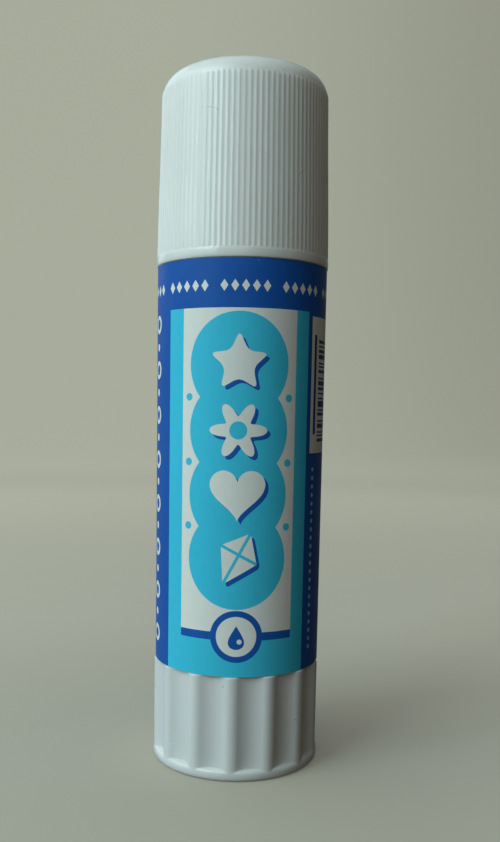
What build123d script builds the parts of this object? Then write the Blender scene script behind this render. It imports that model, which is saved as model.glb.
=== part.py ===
from build123d import *
import math
import os

# ---------------------------------------------------------------------------
# Twist-up glue stick, 15 g size.  Millimetres, +Z up along the stick,
# origin at the centre of the turning base's flat underside.
# The stick stands on that base with its cap pushed home.
# ---------------------------------------------------------------------------

# overall
H_TOTAL = 94.0          # underside of the base to the crown of the cap
Z_SEAM = 14.30          # lower edge of the barrel, just above the turning base
Z_SHOULDER = 68.00      # barrel shoulder, where the cap's rim stops
Z_NECK_TOP = 80.00      # rim of the neck inside the cap

# barrel
R_BARREL = 11.38
R_BORE = 9.50
R_NECK = 10.25
R_SOCKET = 10.25        # counterbore that takes the base's spigot
Z_SOCKET = 20.50
R_GROOVE = 10.62        # ring groove that keeps the base on
Z_GROOVE = (17.00, 18.30)
GUIDE_N = 4             # ribs in the bore that stop the carrier from turning
GUIDE_R = 9.10
GUIDE_W = 1.00

# label film
R_FILM = 11.50
FILM_T = 0.10
Z_FILM = (14.45, 67.85)
LAP_W = 5.0             # overlap of the film's ends, at the back
LAP_T = 0.05

# turning base
FLUTES = 14
R_CREST = 11.70
FLUTE_DEPTH = 0.72
CREST_HALF_W = 0.95     # half width of the convex part of one flute period
FLUTE_PHASE = -2.8      # degrees, a crest beside the front line
R_RIM = 11.75
Z_KNOB_TOP = 14.15
SPIGOT_R = 10.17
SPIGOT_IN = 8.90
SPIGOT_TOP = 20.00
BEAD_R = 10.52
BOSS_R = 5.60
BOSS_TOP = 9.00
HEX_AF = 6.40           # keyed socket for the spindle

# spindle
LEAD = 6.00             # travel per turn; two-start left-hand thread
THREAD_R = 3.20
CORE_R = 2.35
Z_THREAD = (12.00, 76.80)
Z_TIP = 78.00

# carrier and glue, at rest: wound down until the glue is 1 mm inside the neck
CARRIER_R = 9.38
CUP_IN = 8.50
Z_FLOOR = (62.30, 63.50)
Z_CUP_RIM = 69.00
HUB_R = 4.70
Z_HUB = (60.80, 69.40)
NUT_GAP = 0.16
GLUE_R = 9.35
GLUE_BORE = 3.45
Z_GLUE_TOP = 79.00
KEY_CUT_R = 8.93
KEY_CUT_W = 1.34

# cap
RIBS = 100
RIB_H = 0.15
RIB_W = 0.30
R_CAP_BAND = 11.63
Z_RIBS = (69.40, 90.10)
R_RIB_LOW = 11.59       # rib crests at the lower end
R_RIB_TOP = 11.08       # rib crests at the upper end
DOME_EDGE_R = 3.50
CROWN_R = 31.0
CAP_BEAD_R = 10.31      # grip bead, eased to just clear the neck

os.makedirs("parts", exist_ok=True)


def disc(r, z0, z1):
    return Pos(0, 0, z0) * Cylinder(r, z1 - z0, align=(Align.CENTER, Align.CENTER, Align.MIN))


def lathe(edges):
    """Revolve a closed outline, given as edges in the r-z half plane."""
    face = Face(Wire(edges))
    return Solid.revolve(face, 360, Axis.Z)


def rz(r, z):
    return Vector(r, 0, z)


def poly(points):
    """Closed straight outline through (r, z) points."""
    n = len(points)
    return [Edge.make_line(rz(*points[i]), rz(*points[(i + 1) % n])) for i in range(n)]


def path(start, *steps):
    """Open outline: ('l', point) straight, ('a', mid, end) arc."""
    out, here = [], start
    for s in steps:
        if s[0] == "l":
            out.append(Edge.make_line(rz(*here), rz(*s[1])))
            here = s[1]
        else:
            out.append(Edge.make_three_point_arc(rz(*here), rz(*s[1]), rz(*s[2])))
            here = s[2]
    return out


def arc_mid(c, r, a0, a1):
    a = math.radians((a0 + a1) / 2)
    return (c[0] + r * math.cos(a), c[1] + r * math.sin(a))


def polar(r, deg, z=0.0):
    a = math.radians(deg)
    return Vector(r * math.cos(a), r * math.sin(a), z)


# --------------------------------------------------------------------- cap
def rib_wire(z, r_crest):
    """Outline of the ribbed skirt at one height: flat lands and round ribs."""
    r0 = r_crest - RIB_H
    half = math.degrees(RIB_W / 2 / r0)
    step = 360 / RIBS
    edges = []
    for i in range(RIBS):
        a = i * step
        edges.append(Edge.make_three_point_arc(polar(r0, a - half, z), polar(r_crest, a, z), polar(r0, a + half, z)))
        edges.append(Edge.make_three_point_arc(polar(r0, a + half, z), polar(r0, a + step / 2, z),
                                               polar(r0, a + step - half, z)))
    return Wire(edges)


ribbed = Solid.make_loft([rib_wire(Z_RIBS[0], R_RIB_LOW), rib_wire(Z_RIBS[1], R_RIB_TOP)], True)

r_dome = R_RIB_TOP - RIB_H + 0.04
c_crown = (0.0, H_TOTAL - CROWN_R)
a_start = 12.6
c_edge = (r_dome - DOME_EDGE_R * math.cos(math.radians(a_start)),
          Z_RIBS[1] - DOME_EDGE_R * math.sin(math.radians(a_start)))
# crown centre is set so that the crown arc is tangent to the edge arc
dz = math.sqrt((CROWN_R - DOME_EDGE_R) ** 2 - c_edge[0] ** 2)
z_crown_c = c_edge[1] - dz
z_top = z_crown_c + CROWN_R
a_t = math.degrees(math.atan2(dz, c_edge[0]))
t_pt = (CROWN_R * math.cos(math.radians(a_t)), z_crown_c + CROWN_R * math.sin(math.radians(a_t)))
print("crown height from the arcs:", round(z_top, 3))
shift_z = H_TOTAL - z_top     # the crown is set to the overall height by sliding the arcs
dome = lathe(path((0, Z_RIBS[1]),
                  ("l", (r_dome, Z_RIBS[1])),
                  ("l", (r_dome, Z_RIBS[1] + max(shift_z, 0.0) + 1e-4)) if shift_z > 1e-3 else ("l", (r_dome, Z_RIBS[1] + 1e-3)),
                  ("a", (arc_mid(c_edge, DOME_EDGE_R, a_start, a_t)[0], arc_mid(c_edge, DOME_EDGE_R, a_start, a_t)[1] + shift_z),
                   (t_pt[0], t_pt[1] + shift_z)),
                  ("a", (CROWN_R * math.cos(math.radians((90 + a_t) / 2)),
                         z_crown_c + shift_z + CROWN_R * math.sin(math.radians((90 + a_t) / 2))),
                   (0, H_TOTAL)),
                  ("l", (0, Z_RIBS[1]))))

band = lathe(path((0, Z_SHOULDER),
                  ("l", (R_CAP_BAND - 0.20, Z_SHOULDER)),
                  ("a", (R_CAP_BAND - 0.07, Z_SHOULDER + 0.06), (R_CAP_BAND - 0.02, Z_SHOULDER + 0.20)),
                  ("a", (R_CAP_BAND, Z_SHOULDER + 0.65), (R_CAP_BAND - 0.02, Z_SHOULDER + 1.15)),
                  ("a", (R_CAP_BAND - 0.06, Z_SHOULDER + 1.33), (R_CAP_BAND - 0.17, Z_SHOULDER + 1.40)),
                  ("l", (0, Z_SHOULDER + 1.40)),
                  ("l", (0, Z_SHOULDER))))

cap_in = lathe(path((0, Z_SHOULDER - 1.0),
                    ("l", (10.62, Z_SHOULDER - 1.0)),
                    ("l", (10.62, Z_SHOULDER)),
                    ("l", (10.40, Z_SHOULDER + 0.45)),
                    ("l", (10.39, Z_SHOULDER + 1.6)),
                    ("a", (CAP_BEAD_R, Z_SHOULDER + 2.2), (10.39, Z_SHOULDER + 2.8)),
                    ("l", (10.35, Z_NECK_TOP)),
                    ("l", (9.84, c_edge[1])),
                    ("a", arc_mid((c_edge[0], c_edge[1]), 9.84 - c_edge[0], 0, a_t),
                     (c_edge[0] + (9.84 - c_edge[0]) * math.cos(math.radians(a_t)),
                      c_edge[1] + (9.84 - c_edge[0]) * math.sin(math.radians(a_t)))),
                    ("l", (4.0, 92.60)),
                    ("l", (0, 92.70)),
                    ("l", (0, Z_SHOULDER - 1.0))))
cap = (ribbed + dome + band) - cap_in

# ------------------------------------------------------------------ barrel
barrel = disc(R_BARREL, Z_SEAM, Z_SHOULDER) + disc(R_NECK, Z_SHOULDER - 1, Z_NECK_TOP)
barrel -= disc(R_BORE, Z_SEAM - 1, Z_NECK_TOP + 1)
barrel -= disc(R_SOCKET, Z_SEAM - 1, Z_SOCKET)
barrel -= lathe(poly([(R_SOCKET - 0.3, Z_GROOVE[0] - 0.3), (R_GROOVE, Z_GROOVE[0]),
                      (R_GROOVE, Z_GROOVE[1]), (R_SOCKET - 0.3, Z_GROOVE[1] + 0.3)]))
# lead-in at the mouth of the socket, eased neck rim
barrel -= lathe(poly([(R_SOCKET - 0.5, Z_SEAM - 0.5), (R_SOCKET + 0.75, Z_SEAM - 0.5), (R_SOCKET - 0.5, Z_SEAM + 0.75)]))
barrel -= lathe(poly([(R_NECK - 0.30, Z_NECK_TOP + 0.1), (R_NECK + 0.2, Z_NECK_TOP + 0.1), (R_NECK + 0.2, Z_NECK_TOP - 0.40)]))
guide = Box(R_BORE + 0.4 - GUIDE_R, GUIDE_W, Z_NECK_TOP - 1.0 - Z_SOCKET,
            align=(Align.MIN, Align.CENTER, Align.MIN))
guides = [Rot(0, 0, 45 + k * 360 / GUIDE_N) * (Pos(GUIDE_R, 0, Z_SOCKET) * guide) for k in range(GUIDE_N)]
for g in guides:
    barrel += g

# ------------------------------------------------------------------- label
label = disc(R_FILM, *Z_FILM) - disc(R_FILM - FILM_T, Z_FILM[0] - 1, Z_FILM[1] + 1)
lap = disc(R_FILM + LAP_T, *Z_FILM) - disc(R_FILM - FILM_T / 2, Z_FILM[0] - 1, Z_FILM[1] + 1)
lap &= Pos(0, R_FILM, (Z_FILM[0] + Z_FILM[1]) / 2) * Box(LAP_W, 6, 60)
label += lap

# ------------------------------------------------------------ turning base
half_p = math.pi * R_CREST / FLUTES                    # half of one period, along the arc
hollow_w = half_p - CREST_HALF_W
theta = 2 * math.atan(FLUTE_DEPTH / half_p)            # slope where crest and hollow meet
r1 = CREST_HALF_W / math.sin(theta)
r2 = hollow_w / math.sin(theta)


def flute_drop(s):
    """Depth below the crest circle at arc distance s from a crest."""
    s = abs(s)
    if s <= CREST_HALF_W:
        return r1 - math.sqrt(r1 * r1 - s * s)
    t = half_p - s
    return FLUTE_DEPTH - (r2 - math.sqrt(r2 * r2 - t * t))


def flute_wire(z):
    edges = []
    step = 360 / FLUTES
    w = math.degrees(CREST_HALF_W / R_CREST)
    def pt(a_rel, a0):
        return polar(R_CREST - flute_drop(math.radians(a_rel) * R_CREST), a0 + a_rel, z)
    for i in range(FLUTES):
        a0 = -90 + FLUTE_PHASE + i * step
        edges.append(Edge.make_three_point_arc(pt(-w, a0), pt(0, a0), pt(w, a0)))
        edges.append(Edge.make_three_point_arc(pt(w, a0), pt(step / 2, a0), polar(
            R_CREST - flute_drop(math.radians(w) * R_CREST), a0 + step - w, z)))
    return Wire(edges)


fluted = Solid.extrude(Face(flute_wire(0.5)), Vector(0, 0, Z_KNOB_TOP - 0.5))
rim = lathe(path((0, 0),
                 ("l", (R_RIM - 0.85, 0)),
                 ("a", (R_RIM - 0.25, 0.25), (R_RIM, 0.80)),
                 ("l", (R_RIM, 1.02)),
                 ("a", (R_RIM - 0.03, 1.10), (R_RIM - 0.11, 1.17)),
                 ("l", (R_CREST - FLUTE_DEPTH - 0.15, 1.74)),
                 ("l", (0, 1.74)),
                 ("l", (0, 0))))
knob = fluted + rim
knob += disc(SPIGOT_R, 10.0, SPIGOT_TOP)
knob += lathe(path((SPIGOT_R - 0.6, 17.10),
                   ("l", (SPIGOT_R, 17.10)),
                   ("l", (BEAD_R, 17.35)),
                   ("l", (BEAD_R, 17.75)),
                   ("l", (SPIGOT_R, 18.15)),
                   ("l", (SPIGOT_R - 0.6, 18.15)),
                   ("l", (SPIGOT_R - 0.6, 17.10))))
knob -= lathe(poly([(0, 1.70), (9.60, 1.70), (9.60, 11.6), (SPIGOT_IN, 12.3), (SPIGOT_IN, SPIGOT_TOP + 1), (0, SPIGOT_TOP + 1)]))
knob -= lathe(poly([(0, -0.5), (9.3, -0.5), (8.8, 0.50), (0, 0.50)]))       # hollowed underside
for k in range(4):
    knob += Rot(0, 0, 45 + 90 * k) * (Pos(3.0, 0, 1.4) * Box(7.2, 0.9, 4.6, align=(Align.MIN, Align.CENTER, Align.MIN)))
knob += disc(BOSS_R, 1.4, BOSS_TOP)
hex_hole = extrude(RegularPolygon(HEX_AF / 2, 6, major_radius=False), BOSS_TOP)
knob -= Pos(0, 0, 2.2) * hex_hole

# ----------------------------------------------------------------- spindle
def screw_wire(core, crest, land_deg, flank_deg, turn):
    """Cross-section of the two-start screw: two crest lands, two root lands."""
    edges = []
    half = land_deg / 2
    for k in (0, 180):
        a = k + turn
        edges.append(Edge.make_three_point_arc(polar(crest, a - half), polar(crest, a), polar(crest, a + half)))
        edges.append(Edge.make_line(polar(crest, a + half), polar(core, a + half + flank_deg)))
        edges.append(Edge.make_three_point_arc(polar(core, a + half + flank_deg), polar(core, a + 90),
                                               polar(core, a + 180 - half - flank_deg)))
        edges.append(Edge.make_line(polar(core, a + 180 - half - flank_deg), polar(crest, a + 180 - half)))
    return Wire(edges)


def screw(core, crest, land_deg, flank_deg, z0, z1):
    """Left-hand screw between two heights; its phase is tied to the height."""
    turn = -360.0 * z0 / LEAD
    face = Face(screw_wire(core, crest, land_deg, flank_deg, turn % 360))
    face = face.moved(Location((0, 0, z0)))
    return Solid.extrude_linear_with_rotation(face, (0, 0, z0), (0, 0, z1 - z0), -360.0 * (z1 - z0) / LEAD)


thread = screw(CORE_R, THREAD_R, 52, 30, *Z_THREAD)
spindle = thread + disc(CORE_R - 0.02, Z_THREAD[0] - 2.2, Z_TIP - 0.6)
spindle += Pos(0, 0, Z_TIP - 0.6) * Cone(CORE_R - 0.02, CORE_R - 0.62, 0.6, align=(Align.CENTER, Align.CENTER, Align.MIN))
spindle += disc(5.3, BOSS_TOP, BOSS_TOP + 1.0)
spindle += Pos(0, 0, 2.3) * extrude(RegularPolygon(HEX_AF / 2 - 0.03, 6, major_radius=False), BOSS_TOP - 2.3)

# ----------------------------------------------------------------- carrier
carrier = disc(CARRIER_R, Z_FLOOR[0], Z_CUP_RIM) - disc(CUP_IN, Z_FLOOR[1], Z_CUP_RIM + 1)
carrier += disc(HUB_R, *Z_HUB)
for k in range(4):
    carrier += Rot(0, 0, 90 * k) * (Pos(HUB_R - 0.5, 0, Z_FLOOR[1] - 0.3) * Box(CUP_IN - HUB_R + 0.8, 0.9, 1.8, align=(Align.MIN, Align.CENTER, Align.MIN)))
nut = screw(CORE_R + NUT_GAP, THREAD_R + NUT_GAP, 52 + 14, 26, Z_HUB[0] - 1.0, Z_HUB[1] + 1.0)
carrier -= nut
key_cut = Box(2.0, KEY_CUT_W, 30, align=(Align.MIN, Align.CENTER, Align.CENTER))
for k in range(GUIDE_N):
    carrier -= Rot(0, 0, 45 + k * 360 / GUIDE_N) * (Pos(KEY_CUT_R, 0, 66) * key_cut)

# -------------------------------------------------------------------- glue
glue = lathe(path((GLUE_BORE, Z_FLOOR[1]),
                  ("l", (CUP_IN - 0.03, Z_FLOOR[1])),
                  ("l", (CUP_IN - 0.03, Z_CUP_RIM)),
                  ("l", (GLUE_R, Z_CUP_RIM)),
                  ("l", (GLUE_R, Z_GLUE_TOP - 1.7)),
                  ("a", (GLUE_R - 0.55, Z_GLUE_TOP - 0.50), (GLUE_R - 2.0, Z_GLUE_TOP)),
                  ("l", (GLUE_BORE + 0.5, Z_GLUE_TOP - 0.15)),
                  ("l", (GLUE_BORE, Z_GLUE_TOP - 0.6)),
                  ("l", (GLUE_BORE, Z_FLOOR[1]))))
glue -= disc(HUB_R + 0.03, Z_FLOOR[1] - 1, Z_HUB[1] + 0.03)
for k in range(4):
    glue -= Rot(0, 0, 90 * k) * (Pos(HUB_R - 0.5, 0, Z_FLOOR[1] - 0.5) * Box(CUP_IN - HUB_R + 0.8, 0.96, 2.03, align=(Align.MIN, Align.CENTER, Align.MIN)))
for k in range(GUIDE_N):
    glue -= Rot(0, 0, 45 + k * 360 / GUIDE_N) * (Pos(KEY_CUT_R, 0, 70) * key_cut)

# ------------------------------------------------------------------- write
NODES = {"cap": cap, "barrel": barrel, "label": label, "turning_base": knob,
         "spindle": spindle, "carrier": carrier, "glue": glue}
for name, shape in NODES.items():
    bb = shape.bounding_box()
    print(name, "volume", round(shape.volume, 1), "solids", len(shape.solids()),
          "z", round(bb.min.Z, 2), round(bb.max.Z, 2), "r", round(bb.max.X, 3))
    export_step(shape, f"parts/{name}.step")
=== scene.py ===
import math

import bpy
import numpy as np
from mathutils import Matrix, Vector
from mathutils.geometry import delaunay_2d_cdt


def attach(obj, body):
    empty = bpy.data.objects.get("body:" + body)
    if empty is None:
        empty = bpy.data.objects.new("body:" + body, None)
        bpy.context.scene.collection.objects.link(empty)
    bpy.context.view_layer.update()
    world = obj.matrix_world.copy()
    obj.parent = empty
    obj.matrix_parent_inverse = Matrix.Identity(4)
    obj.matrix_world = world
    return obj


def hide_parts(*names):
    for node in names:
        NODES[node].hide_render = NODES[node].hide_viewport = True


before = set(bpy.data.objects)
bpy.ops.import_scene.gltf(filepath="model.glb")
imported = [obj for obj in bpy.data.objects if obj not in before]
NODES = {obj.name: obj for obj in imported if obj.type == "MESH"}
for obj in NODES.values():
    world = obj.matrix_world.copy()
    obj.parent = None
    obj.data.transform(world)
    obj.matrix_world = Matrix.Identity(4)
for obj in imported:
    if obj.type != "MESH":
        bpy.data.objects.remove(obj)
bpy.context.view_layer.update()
MM = 0.001
PI = math.pi
rng = np.random.default_rng(7)

# ---------------------------------------------------------------------------
# mesh helpers.  Angles run from the front (-Y) towards +X, in degrees.
# ---------------------------------------------------------------------------


def ring_points(r, phi, z):
    """Points (n, 3) in mm on a ring; r and z are numbers or arrays."""
    a = np.radians(phi)
    r = np.broadcast_to(r, a.shape)
    z = np.broadcast_to(z, a.shape)
    return np.stack([r * np.sin(a), -r * np.cos(a), z], 1)


class Shell:
    """A closed skin made of rings, bottom to top on an outer face."""

    def __init__(self):
        self.v, self.f, self.n = [], [], 0

    def ring(self, r, phi, z):
        p = ring_points(r, np.asarray(phi, float), z)
        self.v.append(p)
        start = self.n
        self.n += len(p)
        return start, len(p)

    def point(self, z, x=0.0, y=0.0):
        self.v.append(np.array([[x, y, z]], float))
        self.n += 1
        return self.n - 1

    def bridge(self, a, b):
        (sa, na), (sb, nb) = a, b
        if na == nb:
            for i in range(na):
                j = (i + 1) % na
                self.f.append((sa + i, sa + j, sb + j, sb + i))
        elif na > nb:
            m = na // nb
            half = m // 2
            for k in range(nb):
                k2 = (k + 1) % nb
                A = [sa + (k * m + j) % na for j in range(m + 1)]
                for j in range(m):
                    if j < half:
                        self.f.append((A[j], A[j + 1], sb + k))
                    elif j == half:
                        self.f.append((A[j], A[j + 1], sb + k2, sb + k) if m == 1 else (A[j], sb + k2, sb + k))
                        self.f.append((A[j], A[j + 1], sb + k2))
                    else:
                        self.f.append((A[j], A[j + 1], sb + k2))
        else:
            m = nb // na
            half = m // 2
            for k in range(na):
                k2 = (k + 1) % na
                B = [sb + (k * m + j) % nb for j in range(m + 1)]
                for j in range(m):
                    if j < half:
                        self.f.append((sa + k, B[j + 1], B[j]))
                    elif j == half:
                        self.f.append((sa + k, sa + k2, B[j]))
                        self.f.append((sa + k2, B[j + 1], B[j]))
                    else:
                        self.f.append((sa + k2, B[j + 1], B[j]))

    def stack(self, rings):
        for a, b in zip(rings, rings[1:]):
            self.bridge(a, b)

    def pole(self, ring, p, top=True):
        s, n = ring
        for i in range(n):
            j = (i + 1) % n
            self.f.append((s + i, s + j, p) if top else (s + j, s + i, p))

    def build(self, name, sharp=None):
        mesh = bpy.data.meshes.new(name)
        mesh.from_pydata((np.concatenate(self.v) * MM).tolist(), [], self.f)
        mesh.update()
        mesh.validate()
        mesh.polygons.foreach_set("use_smooth", np.ones(len(mesh.polygons), bool))
        if sharp:
            mesh.set_sharp_from_angle(angle=math.radians(sharp))
        ob = bpy.data.objects.new(name, mesh)
        bpy.context.scene.collection.objects.link(ob)
        return ob


def arc(cx, cz, r, a0, a1, n):
    """n points of an r-z arc, angles in degrees from +r towards +z."""
    t = np.radians(np.linspace(a0, a1, n))
    return [(cx + r * math.cos(k), cz + r * math.sin(k)) for k in t]


def smooth(x):
    x = np.clip(x, 0, 1)
    return x * x * (3 - 2 * x)


# ---------------------------------------------------------------------------
# materials
# ---------------------------------------------------------------------------


class Mat:
    def __init__(self, name):
        self.m = bpy.data.materials.new(name)
        self.m.use_nodes = True
        self.nt = self.m.node_tree
        self.nt.nodes.clear()
        self.out = self.new("ShaderNodeOutputMaterial")
        self.b = self.new("ShaderNodeBsdfPrincipled")
        self.link(self.b.outputs[0], self.out.inputs[0])
        self.tc = self.new("ShaderNodeTexCoord").outputs["Object"]

    def new(self, kind, **kw):
        n = self.nt.nodes.new(kind)
        for k, v in kw.items():
            setattr(n, k, v)
        return n

    def link(self, a, b):
        self.nt.links.new(a, b)

    def set(self, **kw):
        for k, v in kw.items():
            self.b.inputs[k.replace("_", " ")].default_value = v
        return self

    def mapping(self, scale=(1, 1, 1), rot=(0, 0, 0), loc=(0, 0, 0), vec=None):
        n = self.new("ShaderNodeMapping")
        n.inputs["Location"].default_value = loc
        n.inputs["Rotation"].default_value = rot
        n.inputs["Scale"].default_value = scale
        self.link(vec or self.tc, n.inputs["Vector"])
        return n.outputs[0]

    def noise(self, scale, detail=2.0, rough=0.5, vec=None, distort=0.0):
        n = self.new("ShaderNodeTexNoise")
        n.inputs["Scale"].default_value = scale
        n.inputs["Detail"].default_value = detail
        n.inputs["Roughness"].default_value = rough
        n.inputs["Distortion"].default_value = distort
        self.link(vec or self.tc, n.inputs["Vector"])
        return n.outputs["Fac"]

    def voronoi(self, scale, vec=None, feature="F1"):
        n = self.new("ShaderNodeTexVoronoi", feature=feature)
        n.inputs["Scale"].default_value = scale
        self.link(vec or self.tc, n.inputs["Vector"])
        return n

    def math(self, op, a, b=None, clamp=False):
        n = self.new("ShaderNodeMath", operation=op, use_clamp=clamp)
        for i, x in enumerate((a, b)):
            if x is None:
                continue
            if isinstance(x, (int, float)):
                n.inputs[i].default_value = x
            else:
                self.link(x, n.inputs[i])
        return n.outputs[0]

    def ramp(self, x, lo, hi, a=0.0, b=1.0):
        n = self.new("ShaderNodeMapRange", interpolation_type="SMOOTHSTEP")
        for k, v in (("From Min", lo), ("From Max", hi), ("To Min", a), ("To Max", b)):
            n.inputs[k].default_value = v
        self.link(x, n.inputs["Value"])
        return n.outputs[0]

    def mix(self, fac, c0, c1):
        n = self.new("ShaderNodeMix", data_type="RGBA")
        for sock, c in ((n.inputs[6], c0), (n.inputs[7], c1)):
            if isinstance(c, (tuple, list)):
                sock.default_value = (*c[:3], 1.0)
            else:
                self.link(c, sock)
        if isinstance(fac, (int, float)):
            n.inputs[0].default_value = fac
        else:
            self.link(fac, n.inputs[0])
        return n.outputs[2]

    def bump(self, height, strength, distance, normal=None):
        n = self.new("ShaderNodeBump")
        n.inputs["Strength"].default_value = strength
        n.inputs["Distance"].default_value = distance
        self.link(height, n.inputs["Height"])
        if normal is not None:
            self.link(normal, n.inputs["Normal"])
        return n.outputs[0]

    def near(self, p, r0, r1):
        """1 close to point p (mm), 0 beyond r1."""
        n = self.new("ShaderNodeVectorMath", operation="DISTANCE")
        self.link(self.tc, n.inputs[0])
        n.inputs[1].default_value = [c * MM for c in p]
        return self.ramp(n.outputs["Value"], r0 * MM, r1 * MM, 1.0, 0.0)


def white_plastic(name, base, dirt, rough=0.36, sss=0.5, depth=0.0018, spec=0.5, scuffs=()):
    m = Mat(name)
    broad = m.noise(70, 3, 0.55)
    fine = m.noise(2600, 2, 0.5)
    cloud = m.noise(420, 4, 0.6)
    col = m.mix(m.ramp(broad, 0.35, 0.7), base, tuple(c * k for c, k in zip(base, (0.965, 0.97, 0.955))))
    # handling marks: sparse specks and faint grey rubs
    v = m.voronoi(620)
    keep = m.new("ShaderNodeSeparateColor")
    m.link(v.outputs["Color"], keep.inputs[0])
    speck = m.math("MULTIPLY", m.ramp(v.outputs["Distance"], 0.05, 0.10, 1.0, 0.0),
                   m.ramp(keep.outputs[0], 0.93, 0.95))
    streak = m.noise(1.0, 2, 0.5, m.mapping((5200, 5200, 210), (0.35, 0.15, 0.5)))
    rub = m.math("MULTIPLY", m.ramp(streak, 0.70, 0.76), m.ramp(m.noise(120, 2, 0.5), 0.52, 0.66))
    mark = m.math("MAXIMUM", m.math("MULTIPLY", speck, 0.55), m.math("MULTIPLY", rub, 0.18))
    for p, r, tilt, k in scuffs:
        d = m.new("ShaderNodeVectorMath", operation="SUBTRACT")
        m.link(m.tc, d.inputs[0])
        d.inputs[1].default_value = [c * MM for c in p]
        xyz = m.new("ShaderNodeSeparateXYZ")
        m.link(m.mapping(rot=(0, math.radians(tilt), 0), vec=d.outputs[0]), xyz.inputs[0])
        wander = m.math("MULTIPLY", m.math("SUBTRACT", m.noise(900, 2, 0.5), 0.5), 0.0007)
        line = m.ramp(m.math("ABSOLUTE", m.math("ADD", xyz.outputs[2], wander)), 0.00002, 0.00007, 1.0, 0.0)
        one = m.math("MULTIPLY", m.near(p, r * 0.6, r), line)
        mark = m.math("MAXIMUM", mark, m.math("MULTIPLY", one, k))
    col = m.mix(mark, col, dirt)
    m.link(col, m.b.inputs["Base Color"])
    r = m.math("ADD", m.ramp(cloud, 0.3, 0.75, rough - 0.05, rough + 0.06), m.math("MULTIPLY", mark, 0.2))
    m.link(r, m.b.inputs["Roughness"])
    nrm = m.bump(fine, 0.12, 0.00003)
    nrm = m.bump(cloud, 0.10, 0.00010, nrm)
    nrm = m.bump(m.math("SUBTRACT", 1.0, mark), 0.35, 0.00003, nrm)
    m.link(nrm, m.b.inputs["Normal"])
    m.set(Specular_IOR_Level=spec, IOR=1.49, Subsurface_Weight=sss, Subsurface_Scale=depth)
    m.b.inputs["Subsurface Radius"].default_value = (1.0, 1.0, 0.95)
    return m.m


def film(name, base, alt, rough=0.48, coat=0.06):
    """Printed film: ink with a slight mottle, clear gloss over it."""
    m = Mat(name)
    mottle = m.noise(900, 4, 0.65)
    broad = m.noise(60, 2, 0.5)
    fac = m.math("ADD", m.math("MULTIPLY", m.ramp(mottle, 0.35, 0.65), 0.5),
                 m.math("MULTIPLY", m.ramp(broad, 0.35, 0.65), 0.5))
    col = m.mix(fac, base, alt)
    v = m.voronoi(480)
    keep = m.new("ShaderNodeSeparateColor")
    m.link(v.outputs["Color"], keep.inputs[0])
    speck = m.math("MULTIPLY", m.ramp(v.outputs["Distance"], 0.035, 0.07, 1.0, 0.0),
                   m.ramp(keep.outputs[0], 0.94, 0.96))
    hair = m.noise(1.0, 2, 0.5, m.mapping((4200, 4200, 130), (0.2, -0.25, 0.9)))
    scratch = m.math("MULTIPLY", m.ramp(hair, 0.735, 0.775), m.ramp(m.noise(90, 2, 0.5), 0.5, 0.62))
    col = m.mix(m.math("MULTIPLY", speck, 0.55), col, (0.62, 0.66, 0.66))
    col = m.mix(m.math("MULTIPLY", scratch, 0.09), col, (0.50, 0.62, 0.72))
    m.link(col, m.b.inputs["Base Color"])
    r = m.math("ADD", m.ramp(m.noise(260, 3, 0.6), 0.3, 0.75, rough - 0.04, rough + 0.07),
               m.math("MULTIPLY", scratch, 0.12))
    m.link(r, m.b.inputs["Roughness"])
    nrm = m.bump(m.noise(1500, 2, 0.5), 0.10, 0.00003)
    nrm = m.bump(m.noise(1.0, 2, 0.5, m.mapping((330, 330, 60))), 0.16, 0.00012, nrm)
    nrm = m.bump(m.math("SUBTRACT", 1.0, scratch), 0.3, 0.00002, nrm)
    m.link(nrm, m.b.inputs["Normal"])
    m.set(Specular_IOR_Level=0.12, IOR=1.5, Coat_Weight=coat, Coat_Roughness=0.22, Coat_IOR=1.5)
    return m.m


def wax(name):
    m = Mat(name)
    cloud = m.noise(300, 4, 0.6)
    base = m.mix(m.ramp(cloud, 0.3, 0.7), (0.86, 0.85, 0.80), (0.80, 0.79, 0.73))
    m.link(base, m.b.inputs["Base Color"])
    m.link(m.ramp(m.noise(800, 3, 0.6), 0.3, 0.75, 0.26, 0.46), m.b.inputs["Roughness"])
    drag = m.noise(1.0, 3, 0.6, m.mapping((2600, 260, 800), (0, 0, 0.5)))
    nrm = m.bump(drag, 0.35, 0.00012)
    nrm = m.bump(m.noise(1900, 3, 0.6), 0.25, 0.00005, nrm)
    m.link(nrm, m.b.inputs["Normal"])
    m.set(Specular_IOR_Level=0.45, Subsurface_Weight=0.55, Subsurface_Scale=0.0022, Coat_Weight=0.15,
          Coat_Roughness=0.25)
    m.b.inputs["Subsurface Radius"].default_value = (1.0, 0.9, 0.7)
    return m.m


CAP_MAT = white_plastic("cap_plastic", (0.80, 0.825, 0.80), (0.30, 0.32, 0.30), rough=0.17, depth=0.0025,
                        scuffs=(((-3.99, -10.40, 85.9), 1.0, -24, 0.36), ((7.21, -8.75, 78.9), 0.75, 55, 0.35)))
BASE_MAT = white_plastic("base_plastic", (0.715, 0.735, 0.735), (0.28, 0.29, 0.27), rough=0.22)
BARREL_MAT = white_plastic("barrel_plastic", (0.80, 0.81, 0.80), (0.34, 0.35, 0.33), rough=0.30)
SCREW_MAT = white_plastic("screw_plastic", (0.74, 0.76, 0.74), (0.40, 0.40, 0.38), rough=0.40, sss=0.2)
GLUE_MAT = wax("glue_wax")

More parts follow.
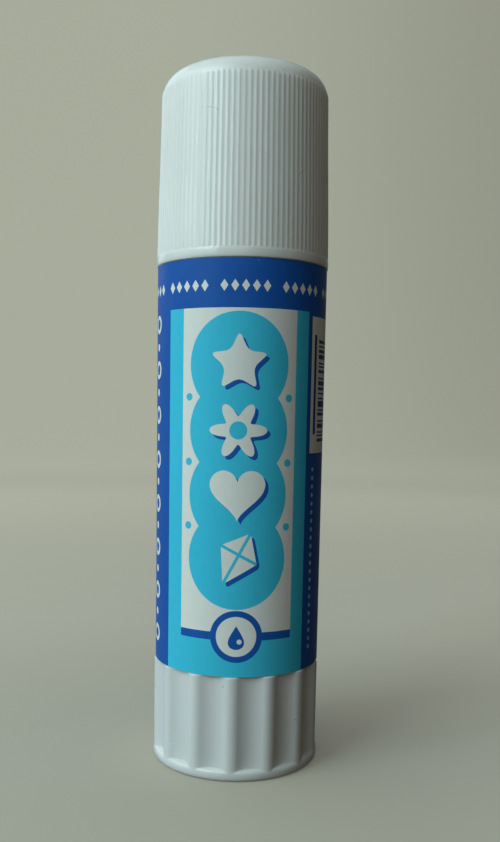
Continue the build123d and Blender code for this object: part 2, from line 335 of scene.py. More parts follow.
# ---------------------------------------------------------------------------
# cap: thin shell with round-tipped ribs
# ---------------------------------------------------------------------------
RIBS, RIB_PHASE = 100, -0.25
RIB_H, RIB_HALF = 0.052, 0.30
SUB = np.array([0.0, 0.09, 0.18, 0.27, 0.36, 0.5, 0.64, 0.73, 0.82, 0.91])
CAP_PHI = (RIB_PHASE + (np.arange(RIBS)[:, None] + SUB[None, :]) * 360 / RIBS).ravel()
CAP_PHI200 = CAP_PHI[::5]
U_FRAC = np.tile(np.minimum(SUB, 1 - SUB), RIBS)        # distance from the rib's line, in pitches
Z_TIP = 90.50


def crest_r(z):
    return np.interp(z, [69.0, 72.7, 76.5, 80.2, 83.9, 90.1], [11.60, 11.535, 11.44, 11.325, 11.215, 11.075])


def rib_ring(shell, base_r, z, full=None):
    """Ring with the ribs added to a plain radius."""
    u = U_FRAC * 2 * PI * base_r / RIBS
    zc = Z_TIP - RIB_HALF
    d = np.abs(u) if z < zc else np.hypot(u, z - zc)
    h = RIB_H * np.cos(0.5 * PI * np.clip(d / RIB_HALF, 0, 1)) ** 2
    r = base_r + h if full is None else np.maximum(full, base_r + h)
    return shell.ring(r, CAP_PHI, z)


def make_cap():
    s = Shell()
    rings = [s.ring(10.62, CAP_PHI200, 68.0), s.ring(11.50, CAP_PHI, 68.0)]
    for r, z in [(11.545, 68.008), (11.58, 68.03), (11.603, 68.07), (11.618, 68.15), (11.627, 68.35), (11.63, 68.65),
                 (11.627, 68.92), (11.617, 69.10)]:
        rings.append(s.ring(r, CAP_PHI, z))
    for r, z in [(11.60, 69.20), (11.575, 69.275), (11.54, 69.33), (11.50, 69.37), (11.475, 69.40), (11.465, 69.44)]:
        rings.append(rib_ring(s, float(crest_r(z)) - RIB_H, z, r))
    for z in [69.8, 71.5, 73.5, 75.5, 77.5, 79.5, 81.5, 83.5, 85.5, 87.5, 89.0, 89.6, 89.9]:
        rings.append(rib_ring(s, float(crest_r(z)) - RIB_H, z))
    s.stack(rings)
    # dome: edge arc, then the crown
    r_dome = float(crest_r(90.1)) - RIB_H
    a0 = 5.0
    er = 2.90
    cx, cz = r_dome - er * math.cos(math.radians(a0)), 90.10 - er * math.sin(math.radians(a0))
    # the crown is tangent to the edge arc and 94 mm up at the middle
    rise = 94.0 - cz - er
    crown = (cx * cx + rise * rise) / (2 * rise) + er
    zc = 94.0 - crown
    a1 = math.degrees(math.atan2(cz - zc, cx))
    prev = rings[-1]
    for a in [a0, 6.2, 7.4, 8.4, 9.3, 10.1, 10.9, 11.7, 12.5, 13.4, 14.4]:
        r, z = cx + er * math.cos(math.radians(a)), cz + er * math.sin(math.radians(a))
        nxt = rib_ring(s, r, z)
        s.bridge(prev, nxt)
        prev = nxt
    pts = arc(cx, cz, er, 17.5, a1, 16)
    for r, z in pts:
        nxt = s.ring(r, CAP_PHI200, z)
        s.bridge(prev, nxt)
        prev = nxt

    def crown_z(r):
        z = zc + math.sqrt(crown * crown - r * r)
        # shallow gate dimple with its pip
        d = 0.13 * float(1 - smooth((r - 1.15) / 0.55)) - 0.10 * float(1 - smooth((r - 0.30) / 0.22))
        return min(z - d, 94.0)

    for r in [8.45, 7.8, 7.1, 6.3, 5.5, 4.7, 3.9, 3.1, 2.4, 1.9, 1.7, 1.55, 1.4, 1.25, 1.15, 0.9, 0.6, 0.5, 0.4, 0.3, 0.15]:
        nxt = s.ring(r, CAP_PHI200, crown_z(r))
        s.bridge(prev, nxt)
        prev = nxt
    s.pole(prev, s.point(crown_z(0.0)), True)
    # inside, from the crown down to the mouth
    ir = 9.84 - cx
    inner = [(0.6, 92.69), (2.0, 92.66), (4.0, 92.60), (6.0, 92.28)]
    inner += [(r, z) for r, z in arc(cx, 89.27, ir, 76, 0, 12)]
    inner += [(9.95, 87.3), (10.10, 84.6), (10.25, 81.8), (10.35, 80.0), (10.37, 75.5), (10.385, 71.1)]
    inner += [(10.39 - 0.08 * math.sin(PI * t) ** 1.0, 70.8 - 1.2 * t) for t in np.linspace(0, 1, 9)]
    inner += [(10.395, 69.0), (10.40, 68.45), (10.44, 68.32)]
    top = s.point(92.70)
    prev = s.ring(inner[0][0], CAP_PHI200, inner[0][1])
    s.pole(prev, top, True)
    for r, z in inner[1:]:
        nxt = s.ring(r, CAP_PHI200, z)
        s.bridge(prev, nxt)
        prev = nxt
    s.bridge(prev, rings[0])
    return s


cap_shell = make_cap().build("cap_shell", sharp=50)
cap_shell.data.materials.append(CAP_MAT)
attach(cap_shell, "cap")
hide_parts("cap")

# ---------------------------------------------------------------------------
# turning base: fluted skirt on a round rim
# ---------------------------------------------------------------------------
FLUTES, R_CREST, FLUTE_D, CREST_W, FLUTE_PHASE = 14, 11.70, 0.72, 0.95, -2.8
half_p = PI * R_CREST / FLUTES
f_theta = 2 * math.atan(FLUTE_D / half_p)
f_r1, f_r2 = CREST_W / math.sin(f_theta), (half_p - CREST_W) / math.sin(f_theta)
NC = 34
KNOB_PHI = FLUTE_PHASE + np.arange(FLUTES * NC) * 360 / (FLUTES * NC)


def flute_r(phi):
    a = (phi - FLUTE_PHASE) % (360 / FLUTES)
    a = np.minimum(a, 360 / FLUTES - a)
    arcd = np.radians(a) * R_CREST
    crest = f_r1 - np.sqrt(np.maximum(f_r1 ** 2 - arcd ** 2, 0))
    t = half_p - arcd
    hollow = FLUTE_D - (f_r2 - np.sqrt(np.maximum(f_r2 ** 2 - t ** 2, 0)))
    return R_CREST - np.where(arcd <= CREST_W, crest, hollow)


def make_base():
    s = Shell()
    fl = flute_r(KNOB_PHI)
    P = KNOB_PHI
    rings = []
    for r, z in [(0.9, 0.53), (1.1, 0.50), (3.0, 0.50), (6.0, 0.50), (8.72, 0.50), (8.80, 0.48), (8.86, 0.42), (9.0, 0.10),
                 (9.04, 0.03), (9.10, 0.0), (11.10, 0.0), (11.22, 0.006)]:
        rings.append(s.ring(r, P, z))
    # full round rim with a nearly flat ledge where the flutes stand on it
    rim = [(11.35, 0.025), (11.46, 0.06), (11.56, 0.125), (11.64, 0.215), (11.695, 0.33), (11.73, 0.48), (11.747, 0.64),
           (11.75, 0.80), (11.745, 0.96), (11.73, 1.09), (11.70, 1.21), (11.66, 1.31), (11.60, 1.395), (11.53, 1.455),
           (11.45, 1.495)]
    rim += [(11.45 - d, 1.495 + 0.20 * d) for d in np.linspace(0.05, 0.75, 15)]
    k = 0.05
    for r, z in rim:
        d = fl - r
        rr = r if z < 0.9 else np.minimum(0.5 * (fl + r + np.sqrt(d * d + k * k)), 11.75)
        rings.append(s.ring(rr, P, z))
    for z in [1.70, 1.80, 2.4, 4.0, 7.0, 10.0, 12.5, 13.7, 14.0]:
        rings.append(s.ring(fl, P, z))
    for dr, z in [(0.006, 14.14), (0.02, 14.19), (0.05, 14.23), (0.10, 14.25)]:
        rings.append(s.ring(fl - dr, P, z))
    # shoulder, spigot with its snap bead
    for r, z in [(10.40, 14.25), (10.17, 14.26), (10.17, 17.10), (10.52, 17.35), (10.52, 17.75), (10.17, 18.15), (10.17, 19.7),
                 (10.07, 19.93), (9.95, 20.0), (9.05, 20.0), (8.90, 19.9), (8.90, 12.3), (9.60, 11.6), (9.60, 1.9), (9.4, 1.72),
                 (9.2, 1.70), (5.75, 1.70), (5.62, 1.75), (5.60, 1.9), (5.60, 8.85), (5.50, 8.97), (5.40, 9.0)]:
        rings.append(s.ring(r, P, z))
    af = (P + 30) % 60 - 30
    hexr = 3.20 / np.cos(np.radians(af))
    rings.append(s.ring(hexr + 0.12, P, 9.0))
    rings.append(s.ring(hexr, P, 8.88))
    rings.append(s.ring(hexr, P, 2.2))
    s.stack(rings)
    s.pole(rings[-1], s.point(2.2), True)
    s.pole(rings[0], s.point(0.53), False)
    return s


base_knob = make_base().build("base_knob", sharp=42)
base_knob.data.materials.append(BASE_MAT)
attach(base_knob, "base")
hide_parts("turning_base")

# ---------------------------------------------------------------------------
# label: the print is laid out flat, cut into areas, and wrapped on the barrel
# ---------------------------------------------------------------------------
R_FILM, R_FILM_IN = 11.50, 11.405
Z0, Z1 = 14.31, 67.92
DEG = R_FILM * PI / 180          # mm of film per degree
HALF = R_FILM * PI
Z_BAND = 61.80
shapes = []                      # (outline, ink), painted in order


def add(points, ink):
    shapes.append((np.array(points, float), ink))


def rect(s0, s1, z0, z1, ink, r=0.0, n=6):
    if r <= 0:
        add([(s0, z0), (s1, z0), (s1, z1), (s0, z1)], ink)
        return
    pts = []
    for cx, cz, a in ((s1 - r, z0 + r, -90), (s1 - r, z1 - r, 0), (s0 + r, z1 - r, 90), (s0 + r, z0 + r, 180)):
        for k in range(n + 1):
            t = math.radians(a + 90 * k / n)
            pts.append((cx + r * math.cos(t), cz + r * math.sin(t)))
    add(pts, ink)


def circle(cx, cz, r, ink, n=None):
    n = n or max(16, int(2 * PI * r / 0.16))
    t = np.arange(n) * 2 * PI / n
    add(np.stack([cx + r * np.cos(t), cz + r * np.sin(t)], 1), ink)


def move(pts, cx, cz, k=1.0, rot=0.0):
    a = math.radians(rot)
    p = np.array(pts, float) * k
    return np.stack([cx + p[:, 0] * math.cos(a) - p[:, 1] * math.sin(a), cz + p[:, 0] * math.sin(a) + p[:, 1] * math.cos(a)], 1)


def rounded(pts, r, n=5):
    """Closed outline with every corner rounded."""
    p = np.array(pts, float)
    out = []
    for i in range(len(p)):
        a, b, c = p[i - 1], p[i], p[(i + 1) % len(p)]
        u, v = a - b, c - b
        lu, lv = np.linalg.norm(u), np.linalg.norm(v)
        d = min(r, lu * 0.45, lv * 0.45)
        p0, p1 = b + u / lu * d, b + v / lv * d
        for k in range(n + 1):
            t = k / n
            out.append((1 - t) ** 2 * p0 + 2 * t * (1 - t) * b + t * t * p1)
    return np.array(out)


def star(n=5, ro=1.0, ri=0.47, r=0.22):
    pts = []
    for k in range(2 * n):
        a = PI / 2 + k * PI / n
        q = ro if k % 2 == 0 else ri
        pts.append((q * math.cos(a), q * math.sin(a)))
    return rounded(pts, r)


def heart():
    t = np.linspace(0, 2 * PI, 72, endpoint=False)
    x = 16 * np.sin(t) ** 3
    y = 13 * np.cos(t) - 5 * np.cos(2 * t) - 2 * np.cos(3 * t) - np.cos(4 * t)
    return np.stack([x / 16.5, (y + 2.5) / 16.5], 1)


def flower(n=6):
    t = np.linspace(0, 2 * PI, 96, endpoint=False)
    r = 0.74 + 0.26 * np.cos(n * t)
    return np.stack([r * np.cos(t), r * np.sin(t)], 1)


def drop():
    t = np.linspace(0, 2 * PI, 56, endpoint=False)
    x = np.sin(t) * np.sin(t / 2) ** 1.6
    y = np.cos(t)
    return np.stack([x * 0.95, y], 1)


def leaf_pair():
    t = np.linspace(0, 1, 26)
    up = np.stack([t * 2 - 1, 0.62 * np.sin(PI * t) ** 0.9], 1)
    dn = np.stack([(1 - t) * 2 - 1, -0.62 * np.sin(PI * (1 - t)) ** 0.9], 1)
    return np.concatenate([up[:-1], dn[:-1]])


def kite():
    return rounded([(0, 1.05), (0.72, 0.18), (0, -1.0), (-0.72, 0.18)], 0.14)


def motif(outline, cx, cz, k, rot=0.0, off=(0.46, -0.46)):
    add(move(outline, cx + off[0], cz + off[1], k, rot), "blue")
    add(move(outline, cx, cz, k, rot), "white")


# front panel
P0, P1 = -53.4 * DEG, 49.4 * DEG
rect(P0, P1, Z0, Z_BAND, "cyan")
W0, W1 = -40.0 * DEG, 38.0 * DEG
rect(W0, W1, 20.28, Z_BAND, "white")
WC = (W0 + W1) / 2
CENTRES = [54.8, 46.5, 38.2, 29.9]
for cz in CENTRES:
    circle(WC, cz, 6.6, "cyan")
for a, b in zip(CENTRES, CENTRES[1:]):
    rect(WC - 4.9, WC + 4.9, (a + b) / 2 - 0.9, (a + b) / 2 + 0.9, "cyan")
    for side in (-1, 1):
        circle(WC + side * 6.75, (a + b) / 2, 0.5, "cyan")
motif(star(), WC, 55.0, 4.0)
motif(flower(), WC, 46.5, 3.75)
circle(WC, 46.5, 1.15, "cyan")
motif(heart(), WC, 38.1, 3.75)
motif(kite(), WC, 29.9, 3.7, -28)
add(move([(-0.72, 0.13), (0.72, 0.13), (0.70, 0.24), (-0.70, 0.24)], WC, 29.9, 3.7, -28), "cyan")
add(move([(-0.055, 1.02), (-0.055, -0.96), (0.055, -0.96), (0.055, 1.02)], WC, 29.9, 3.7, -28), "cyan")
# bar and badge
rect(W0, W1, 19.20, 20.28, "blue")
BC = -0.3 * DEG
circle(BC, 19.72, 3.46, "blue")
circle(BC, 19.72, 2.66, "white")
add(move(drop(), BC, 19.62, 1.62), "blue")
circle(BC + 0.42, 19.05, 0.34, "white")

# top band: rows of small diamonds, in fives
unit = 2 * HALF / 9
for k in range(9):
    for j in range(5):
        c = -HALF + unit * (k + 0.56) + (j - 2) * 1.36
        add(move([(0.50, 0), (0, 0.74), (-0.50, 0), (0, -0.74)], c, 64.55), "white")

# left side: rings and dots
col = -73.5 * DEG
for k, z in enumerate(np.arange(18.2, 60.5, 3.0)):
    if k % 2 == 0:
        circle(col, z, 1.22, "white")
        circle(col, z, 0.70, "blue")
    else:
        circle(col, z, 0.52, "white")
# right side: plain bar panel and a dotted line
rect(53.5 * DEG, 89.0 * DEG, 43.5, 61.30, "white")
widths = [0.42, 0.22, 0.22, 0.60, 0.22, 0.42, 0.22, 0.80, 0.22, 0.22, 0.42, 0.60, 0.22, 0.42, 0.22, 0.22, 0.60, 0.42, 0.22, 0.42]
gaps = [0.30, 0.22, 0.44, 0.22, 0.60, 0.22, 0.30, 0.22, 0.44, 0.30, 0.22, 0.22, 0.60, 0.30, 0.22, 0.44, 0.22, 0.30, 0.30, 0.2]
z = 45.0
for w, g in zip(widths, gaps):
    rect(63.5 * DEG, 86.0 * DEG, z, z + w, "navy")
    z += w + g
rect(57.0 * DEG, 60.0 * DEG, 46.0, 59.0, "navy")
for z in np.arange(17.2, 42.0, 1.15):
    circle(58.0 * DEG, z, 0.30, "pale")
# back: three ringed signs and plain rules
for zc, kind in ((54.5, "drop"), (46.0, "sheet"), (37.5, "star")):
    c = 122.0 * DEG
    circle(c, zc, 3.0, "white")
    circle(c, zc, 2.62, "blue")
    if kind == "drop":
        add(move(drop(), c, zc - 0.1, 1.65), "white")
    elif kind == "sheet":
        add(move([(-1.2, -1.6), (1.2, -1.6), (1.2, 0.8), (0.4, 1.6), (-1.2, 1.6)], c, zc), "white")
        for q in (-0.9, -0.3, 0.3):
            rect(c - 0.75, c + 0.75, zc + q - 0.09, zc + q + 0.09, "blue")
    else:
        add(move(star(), c, zc, 1.85), "white")
for k, (a, b) in enumerate(((17.5, 58.5), (17.5, 55.0), (17.5, 57.5), (17.5, 49.0), (17.5, 58.0), (17.5, 44.0))):
    s0 = -104.0 * DEG - k * 1.75
    rect(s0 - 0.15, s0 + 0.15, a, b, "pale")
circle(122.0 * DEG, 26.0, 4.4, "cyan")
motif(flower(), 122.0 * DEG, 26.0, 2.5, 0, (0.32, -0.32))
circle(122.0 * DEG, 26.0, 0.75, "cyan")

LAP_EDGE = 180.0 * DEG - 2.45        # where the outer end of the film stops


def film_r(s, z):
    """Outer radius: the lap at the back, plus the film's slight unevenness."""
    step = np.where(s > LAP_EDGE, 0.05, 0.0)
    bulge = 0.05 * (1 - smooth((s + HALF) / 1.1)) * 1.0
    return R_FILM + np.maximum(step, np.where(s < -HALF + 1.1, bulge, 0.0))


def make_label():
    pts, edges = [], []

    def loop(p, closed=True):
        s = len(pts)
        pts.extend([tuple(q) for q in p])
        n = len(p)
        edges.extend((s + i, s + (i + 1) % n) for i in range(n if closed else n - 1))

    zs = np.linspace(Z0, Z1, 46)
    ss = np.linspace(-HALF, HALF, 145)
    border = [(x, Z0) for x in ss] + [(HALF, q) for q in zs[1:]] + [(x, Z1) for x in ss[::-1][1:]] + [(-HALF, q) for q in zs[::-1][1:-1]]
    loop(border)
    for edge_s in (LAP_EDGE - 0.012, LAP_EDGE + 0.012):
        loop([(edge_s, q) for q in np.linspace(Z0, Z1, 46)], closed=False)
    for outline, _ in shapes:
        loop(resample(outline))
    placed = np.array(pts)
    cell = {}
    for x, y in placed:
        cell.setdefault((int(math.floor(x / 0.35)), int(math.floor(y / 0.35))), []).append((x, y))
    for x in ss[1:-1]:
        for q in zs[1:-1]:
            i, j = int(math.floor(x / 0.35)), int(math.floor(q / 0.35))
            if all((x - u) ** 2 + (q - w) ** 2 > 0.03 for di in (-1, 0, 1) for dj in (-1, 0, 1) for u, w in cell.get((i + di, j + dj), ())):
                pts.append((float(x), float(q)))
    verts, _, faces, _, _, _ = delaunay_2d_cdt([Vector(p) for p in pts], edges, [], 0, 1e-5, False)
    co = np.array([tuple(v) for v in verts])
    tri = np.array([f for f in faces if len(f) == 3])
    a, b, c = co[tri[:, 0]], co[tri[:, 1]], co[tri[:, 2]]
    area = (b[:, 0] - a[:, 0]) * (c[:, 1] - a[:, 1]) - (c[:, 0] - a[:, 0]) * (b[:, 1] - a[:, 1])
    tri = tri[np.abs(area) > 1e-9]
    area = area[np.abs(area) > 1e-9]
    tri[area < 0] = tri[area < 0][:, ::-1]
    mid = co[tri].mean(1)
    ink = np.zeros(len(tri), int)
    for outline, name in shapes:
        lo, hi = outline.min(0), outline.max(0)
        m = np.where((mid[:, 0] > lo[0]) & (mid[:, 0] < hi[0]) & (mid[:, 1] > lo[1]) & (mid[:, 1] < hi[1]))[0]
        if not len(m):
            continue
        q = mid[m]
        odd = np.zeros(len(m), bool)
        p0 = outline
        p1 = np.roll(outline, -1, 0)
        for (x0, y0), (x1, y1) in zip(p0, p1):
            if y0 == y1:
                continue
            cut = (q[:, 1] >= min(y0, y1)) & (q[:, 1] < max(y0, y1))
            xs = x0 + (q[:, 1] - y0) * (x1 - x0) / (y1 - y0)
            odd ^= cut & (q[:, 0] < xs)
        ink[m[odd]] = INKS.index(name)
    # wrap; the two ends of the flat sheet share their vertices
    n = len(co)
    left = {round(float(co[i, 1]), 3): i for i in range(n) if abs(co[i, 0] + HALF) < 1e-4}
    remap = np.arange(n)
    for i in range(n):
        if abs(co[i, 0] - HALF) < 1e-4:
            remap[i] = left[round(float(co[i, 1]), 3)]
    tri = remap[tri]
    r = film_r(co[:, 0], co[:, 1])
    ang = co[:, 0] / R_FILM
    outer = np.stack([r * np.sin(ang), -r * np.cos(ang), co[:, 1]], 1)
    # edges of the sheet: a small roll to the inner face
    used = sorted(set(tri.ravel().tolist()))
    index = {v: k for k, v in enumerate(used)}
    V = [outer[v] for v in used]
    F = [tuple(index[v] for v in t) for t in tri.tolist()]
    slot = ink.tolist()
    low = sorted((co[v, 0], v) for v in used if abs(co[v, 1] - Z0) < 1e-4)
    top = sorted((co[v, 0], v) for v in used if abs(co[v, 1] - Z1) < 1e-4)

    def wall(rim, up):
        ids = [index[v] for _, v in rim]
        inner = []
        for sx, v in rim:
            inner.append(len(V))
            q = sx / R_FILM
            V.append(np.array([R_FILM_IN * math.sin(q), -R_FILM_IN * math.cos(q), co[v, 1]]))
        m = len(ids)
        for i in range(m):
            j = (i + 1) % m
            F.append((ids[i], inner[i], inner[j], ids[j]) if not up else (ids[i], ids[j], inner[j], inner[i]))
            slot.append(INKS.index("edge"))
        return inner

    lo_in = wall(low, False)
    hi_in = wall(top, True)
    # inner face: a strip between two rings whose points don't match
    sa = [q for q, _ in low] + [low[0][0] + 2 * HALF]
    sb = [q for q, _ in top] + [top[0][0] + 2 * HALF]
    i = j = 0
    while i < len(lo_in) or j < len(hi_in):
        a0, b0 = lo_in[i % len(lo_in)], hi_in[j % len(hi_in)]
        if j == len(hi_in) or (i < len(lo_in) and sa[i + 1] <= sb[j + 1]):
            i += 1
            F.append((a0, b0, lo_in[i % len(lo_in)]))
        else:
            j += 1
            F.append((a0, b0, hi_in[j % len(hi_in)]))
        slot.append(INKS.index("edge"))
    mesh = bpy.data.meshes.new("label_wrap")
    mesh.from_pydata((np.array(V) * MM).tolist(), [], F)
    mesh.update()
    mesh.polygons.foreach_set("material_index", np.array(slot, np.int32))
    mesh.polygons.foreach_set("use_smooth", np.ones(len(mesh.polygons), bool))
    mesh.set_sharp_from_angle(angle=math.radians(35))
    ob = bpy.data.objects.new("label_wrap", mesh)
    bpy.context.scene.collection.objects.link(ob)
    return ob


def resample(outline, step=0.6):
    """Long straight edges get more points, so that the film stays round."""
    out = []
    for p, q in zip(outline, np.roll(outline, -1, 0)):
        n = max(1, int(math.ceil(np.linalg.norm(q - p) / step)))
        for k in range(n):
            out.append(p + (q - p) * k / n)
    return np.array(out)


INKS = ["blue", "cyan", "white", "navy", "pale", "edge"]
label_wrap = make_label()
for m in (film("film_blue", (0.010, 0.104, 0.435), (0.009, 0.092, 0.405)),
          film("film_cyan", (0.052, 0.565, 0.80), (0.046, 0.535, 0.77)),
          film("film_white", (0.80, 0.82, 0.79), (0.76, 0.79, 0.76)),
          film("film_navy", (0.008, 0.035, 0.22), (0.007, 0.030, 0.20)),
          film("film_pale", (0.35, 0.55, 0.75), (0.32, 0.52, 0.72)),
          film("film_edge", (0.30, 0.40, 0.48), (0.26, 0.36, 0.45), coat=0.0)):
    label_wrap.data.materials.append(m)
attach(label_wrap, "barrel")
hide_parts("label")

# ---------------------------------------------------------------------------
# glue: worn end, grooves from the guide ribs, open bore
# ---------------------------------------------------------------------------


def make_glue():
    s = Shell()
    N = 480
    P = np.arange(N) * 360 / N
    off = (P - 45 + 45) % 90 - 45        # angle from the nearest guide rib, which are at 45, 135, ...
    off = (P % 90) - 45
    w = np.degrees(0.67 / 9.1)
    groove = np.abs(off) < w
    R = 9.35
    r_out = np.where(groove, 8.93, R)
    a = np.radians(P)
    wear = 0.05 * np.sin(a * 2 + 0.7) + 0.03 * np.sin(a * 5 + 2.0) + 0.02 * np.sin(a * 11)
    rings = []
    for r, z in [(4.73, 63.5), (8.47, 63.5), (8.47, 69.0)]:
        rings.append(s.ring(r, P, z))
    rings.append(s.ring(np.minimum(r_out, 8.6), P, 69.0))
    rings.append(s.ring(r_out, P, 69.02))
    for z in (71, 73, 75, 76.4, 77.3):
        rings.append(s.ring(r_out, P, z))
    top = 78.93
    for t in np.linspace(0.12, 1.0, 9):
        rr = R - 1.9 * (1 - math.cos(t * PI / 2))
        zz = 77.3 + (top - 77.3) * math.sin(t * PI / 2)
        rings.append(s.ring(np.minimum(r_out, rr + 0.04 * np.sin(a * 7 + t)), P, zz + (wear - 0.06) * t))
    for r in (7.1, 6.6, 6.0, 5.4, 4.9, 4.5, 4.2):
        lump = wear * (r / 7.5) + 0.03 * np.sin(a * 3 + r * 1.7)
        rings.append(s.ring(r, P, 78.93 - 0.06 + lump - 0.05 * (7.4 - r) / 3))
    rag = 0.10 * np.sin(a * 4 + 1.0) + 0.06 * np.sin(a * 9 + 0.3)
    for r, z in ((4.0, 78.80), (3.85, 78.70), (3.72, 78.55), (3.62, 78.35), (3.55, 78.05), (3.5, 77.6)):
        rings.append(s.ring(r + rag * smooth((z - 77.6) / 1.0), P, z))
    rings.append(s.ring(3.46, P, 76.5))
    rings.append(s.ring(3.46, P, 69.45))
    rings.append(s.ring(4.73, P, 69.43))
    rings.append(rings[0])
    s.stack(rings)
    return s


glue_mass = make_glue().build("glue_mass", sharp=48)
glue_mass.data.materials.append(GLUE_MAT)
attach(glue_mass, "carrier")
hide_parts("glue")

# the remaining moulded pieces keep their own shapes
for node, m in (("barrel", BARREL_MAT), ("spindle", SCREW_MAT), ("carrier", SCREW_MAT)):
    ob = NODES[node]
    if not ob.material_slots:
        ob.data.materials.append(m)
    for sl in ob.material_slots:
        sl.material = m

# ---------------------------------------------------------------------------
# camera
# ---------------------------------------------------------------------------
K = 11.5 / 11.25
F_PX, H_CAM, Z_CAM = 894.28, 122.44 * K, 34.47 * K + 14.30
YAW, PITCH, ROLL = 0.0050, 0.1148, 0.0160
OFF = (-15.875, 88.385)
B = np.array([[1, 0, 0], [0, 0, -1], [0, 1, 0]], float)


def rot3(axis, a):
    c, s = math.cos(a), math.sin(a)
    return {"x": np.array([[1, 0, 0], [0, c, -s], [0, s, c]]), "y": np.array([[c, 0, s], [0, 1, 0], [-s, 0, c]]),
            "z": np.array([[c, -s, 0], [s, c, 0], [0, 0, 1]])}[axis]


M3 = rot3("z", ROLL) @ rot3("x", PITCH) @ rot3("y", YAW) @ B
cam_data = bpy.data.cameras.new("camera")
cam = bpy.data.objects.new("camera", cam_data)
bpy.context.scene.collection.objects.link(cam)
cam_data.sensor_fit = "AUTO"
cam_data.sensor_width = 36.0
cam_data.lens = F_PX * 36.0 / 842.0
cam_data.shift_x = -OFF[0] / 842.0
cam_data.shift_y = OFF[1] / 842.0
cam_data.clip_start, cam_data.clip_end = 0.01, 20.0
R = Matrix([[M3[0][i], -M3[1][i], -M3[2][i]] for i in range(3)])
cam.matrix_world = Matrix.Translation((0.0, -H_CAM * MM, Z_CAM * MM)) @ R.to_4x4()
bpy.context.scene.camera = cam

# ---------------------------------------------------------------------------
# studio: a pale sweep all round, soft windows from the left to the front
# ---------------------------------------------------------------------------


def stage_material(name, color, glow):
    m = Mat(name)
    n = m.noise(14, 5, 0.6)
    paint = m.mix(m.ramp(n, 0.3, 0.7), color, tuple(c * 0.96 for c in color))
    m.set(Roughness=1.0, Specular_IOR_Level=0.0)
    # painted light: the sweep glows, evenly on the far wall; near the object the floor glows less and takes the lamps'
    # light and shadows
    far = m.new("ShaderNodeVectorMath", operation="LENGTH")
    m.link(m.tc, far.inputs[0])
    m.b.inputs["Emission Color"].default_value = (*glow, 1.0)
    r = far.outputs["Value"]
    m.link(m.mix(m.ramp(r, 0.12, 0.5, 0.0, 0.85), paint, (0.0, 0.0, 0.0)), m.b.inputs["Base Color"])
    painted_glow_level = m.math("ADD", m.ramp(r, 0.0, 0.1, 0.27, 0.50), m.ramp(r, 0.1, 0.42, 0.0, 0.57))
    painted_glow_level = m.math("ADD", painted_glow_level, m.ramp(r, 0.42, 0.62, 0.0, 0.07))
    xyz = m.new("ShaderNodeSeparateXYZ")
    m.link(m.tc, xyz.inputs[0])
    # painted shade: the glow fades towards +X, so the right side of the sweep is darker
    painted_glow_level = m.math("MULTIPLY", painted_glow_level, m.ramp(xyz.outputs[0], -0.15, 0.55, 1.0, 0.72))
    m.link(painted_glow_level, m.b.inputs["Emission Strength"])
    m.link(m.bump(m.noise(900, 3, 0.6), 0.1, 0.0001), m.b.inputs["Normal"])
    return m.m


sweep = Shell()
N = 128
P = np.arange(N) * 360 / N
prof = [(60, 0), (200, 0), (450, 0), (700, 0), (900, 0)]
prof += [(900 + 500 * math.sin(t), 500 - 500 * math.cos(t)) for t in np.radians(np.linspace(6, 84, 14))]
prof += [(1400, 500), (1400, 900), (1400, 1500), (1000, 1900), (400, 2050)]
rings = [sweep.ring(r, P[::-1], z) for r, z in prof]
sweep.stack(rings)
sweep.pole(rings[0], sweep.point(0.0), False)
sweep.pole(rings[-1], sweep.point(2100.0), True)
floor = sweep.build("sweep")
floor.data.materials.append(stage_material("sweep_paint", (0.37, 0.35, 0.295), (0.335, 0.352, 0.282)))
floor.visible_diffuse = False
floor.visible_glossy = False
floor.visible_transmission = False
floor.visible_shadow = False


def area(name, loc, target, size, energy, color, spread=180):
    d = bpy.data.lights.new(name, "AREA")
    d.shape = "RECTANGLE"
    d.size, d.size_y = size
    d.energy = energy
    d.color = color
    d.spread = math.radians(spread)
    o = bpy.data.objects.new(name, d)
    bpy.context.scene.collection.objects.link(o)
    o.location = loc
    o.rotation_euler = (Vector(target) - Vector(loc)).to_track_quat("-Z", "Y").to_euler()
    o.visible_camera = False
    return o


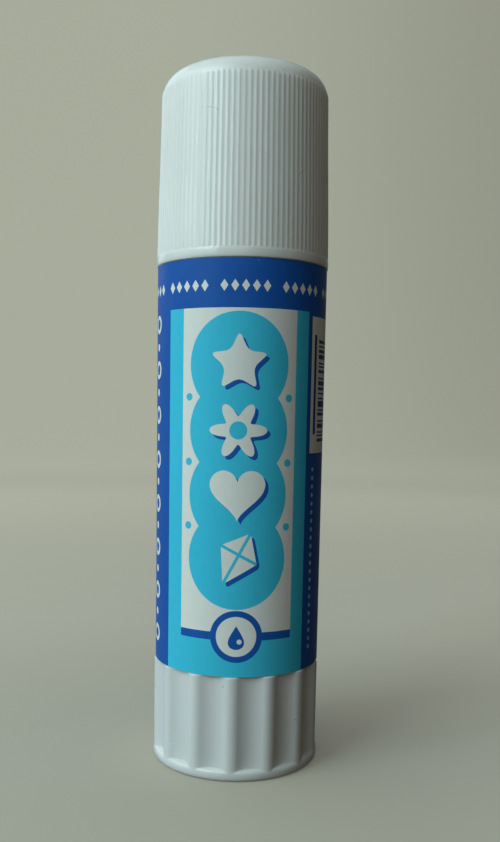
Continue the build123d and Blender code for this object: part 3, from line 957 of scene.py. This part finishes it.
def around(phi, el, dist, z=0.05):
    a, e = math.radians(phi), math.radians(el)
    return (dist * math.sin(a) * math.cos(e), -dist * math.cos(a) * math.cos(e), z + dist * math.sin(e))


area("window_left", around(-85, 30, 0.85), (0, 0, 0.06), (0.60, 0.60), 1.5, (0.90, 1.0, 0.88))
area("window_front", around(-50, 30, 0.85), (0, 0, 0.06), (0.45, 0.60), 4.2, (0.735, 1.0, 1.0))
area("window_top", around(-53, 55, 0.85), (0, 0, 0.085), (0.62, 0.24), 0.68, (1.0, 1.0, 1.15))
area("fill", around(-5, 30, 0.85), (0, 0, 0.06), (0.45, 0.60), 1.05, (0.98, 1.0, 1.04))

area("rim_left", around(-138, 28, 0.85), (0, 0, 0.06), (0.45, 0.60), 0.6, (0.92, 1.0, 1.0))
area("warm_right", (0.072, -0.040, 0.142), (0.0, 0, 0.114), (0.03, 0.03), 0.0004, (1.0, 0.93, 0.72), 60)

# the room: dim and warm in front and at the right, paler behind at the left
world = bpy.data.worlds.new("world")
bpy.context.scene.world = world
world.use_nodes = True
wn = world.node_tree
bg = wn.nodes["Background"]
wtc = wn.nodes.new("ShaderNodeTexCoord")
dot = wn.nodes.new("ShaderNodeVectorMath")
dot.operation = "DOT_PRODUCT"
wn.links.new(wtc.outputs["Generated"], dot.inputs[0])
dot.inputs[1].default_value = Vector((-0.70, 0.70, 0.25)).normalized()
wr = wn.nodes.new("ShaderNodeMapRange")
wr.interpolation_type = "SMOOTHSTEP"
wr.inputs["From Min"].default_value = -0.25
wr.inputs["From Max"].default_value = 0.85
wn.links.new(dot.outputs["Value"], wr.inputs["Value"])
wm = wn.nodes.new("ShaderNodeMix")
wm.data_type = "RGBA"
wm.inputs[6].default_value = (0.036, 0.031, 0.016, 1)
wm.inputs[7].default_value = (0.21, 0.25, 0.29, 1)
wn.links.new(wr.outputs[0], wm.inputs[0])
wn.links.new(wm.outputs[2], bg.inputs[0])
bg.inputs[1].default_value = 1.0

view = bpy.context.scene.view_settings
view.view_transform = "Standard"
view.look = "None"
view.exposure = 0.0
view.gamma = 1.0
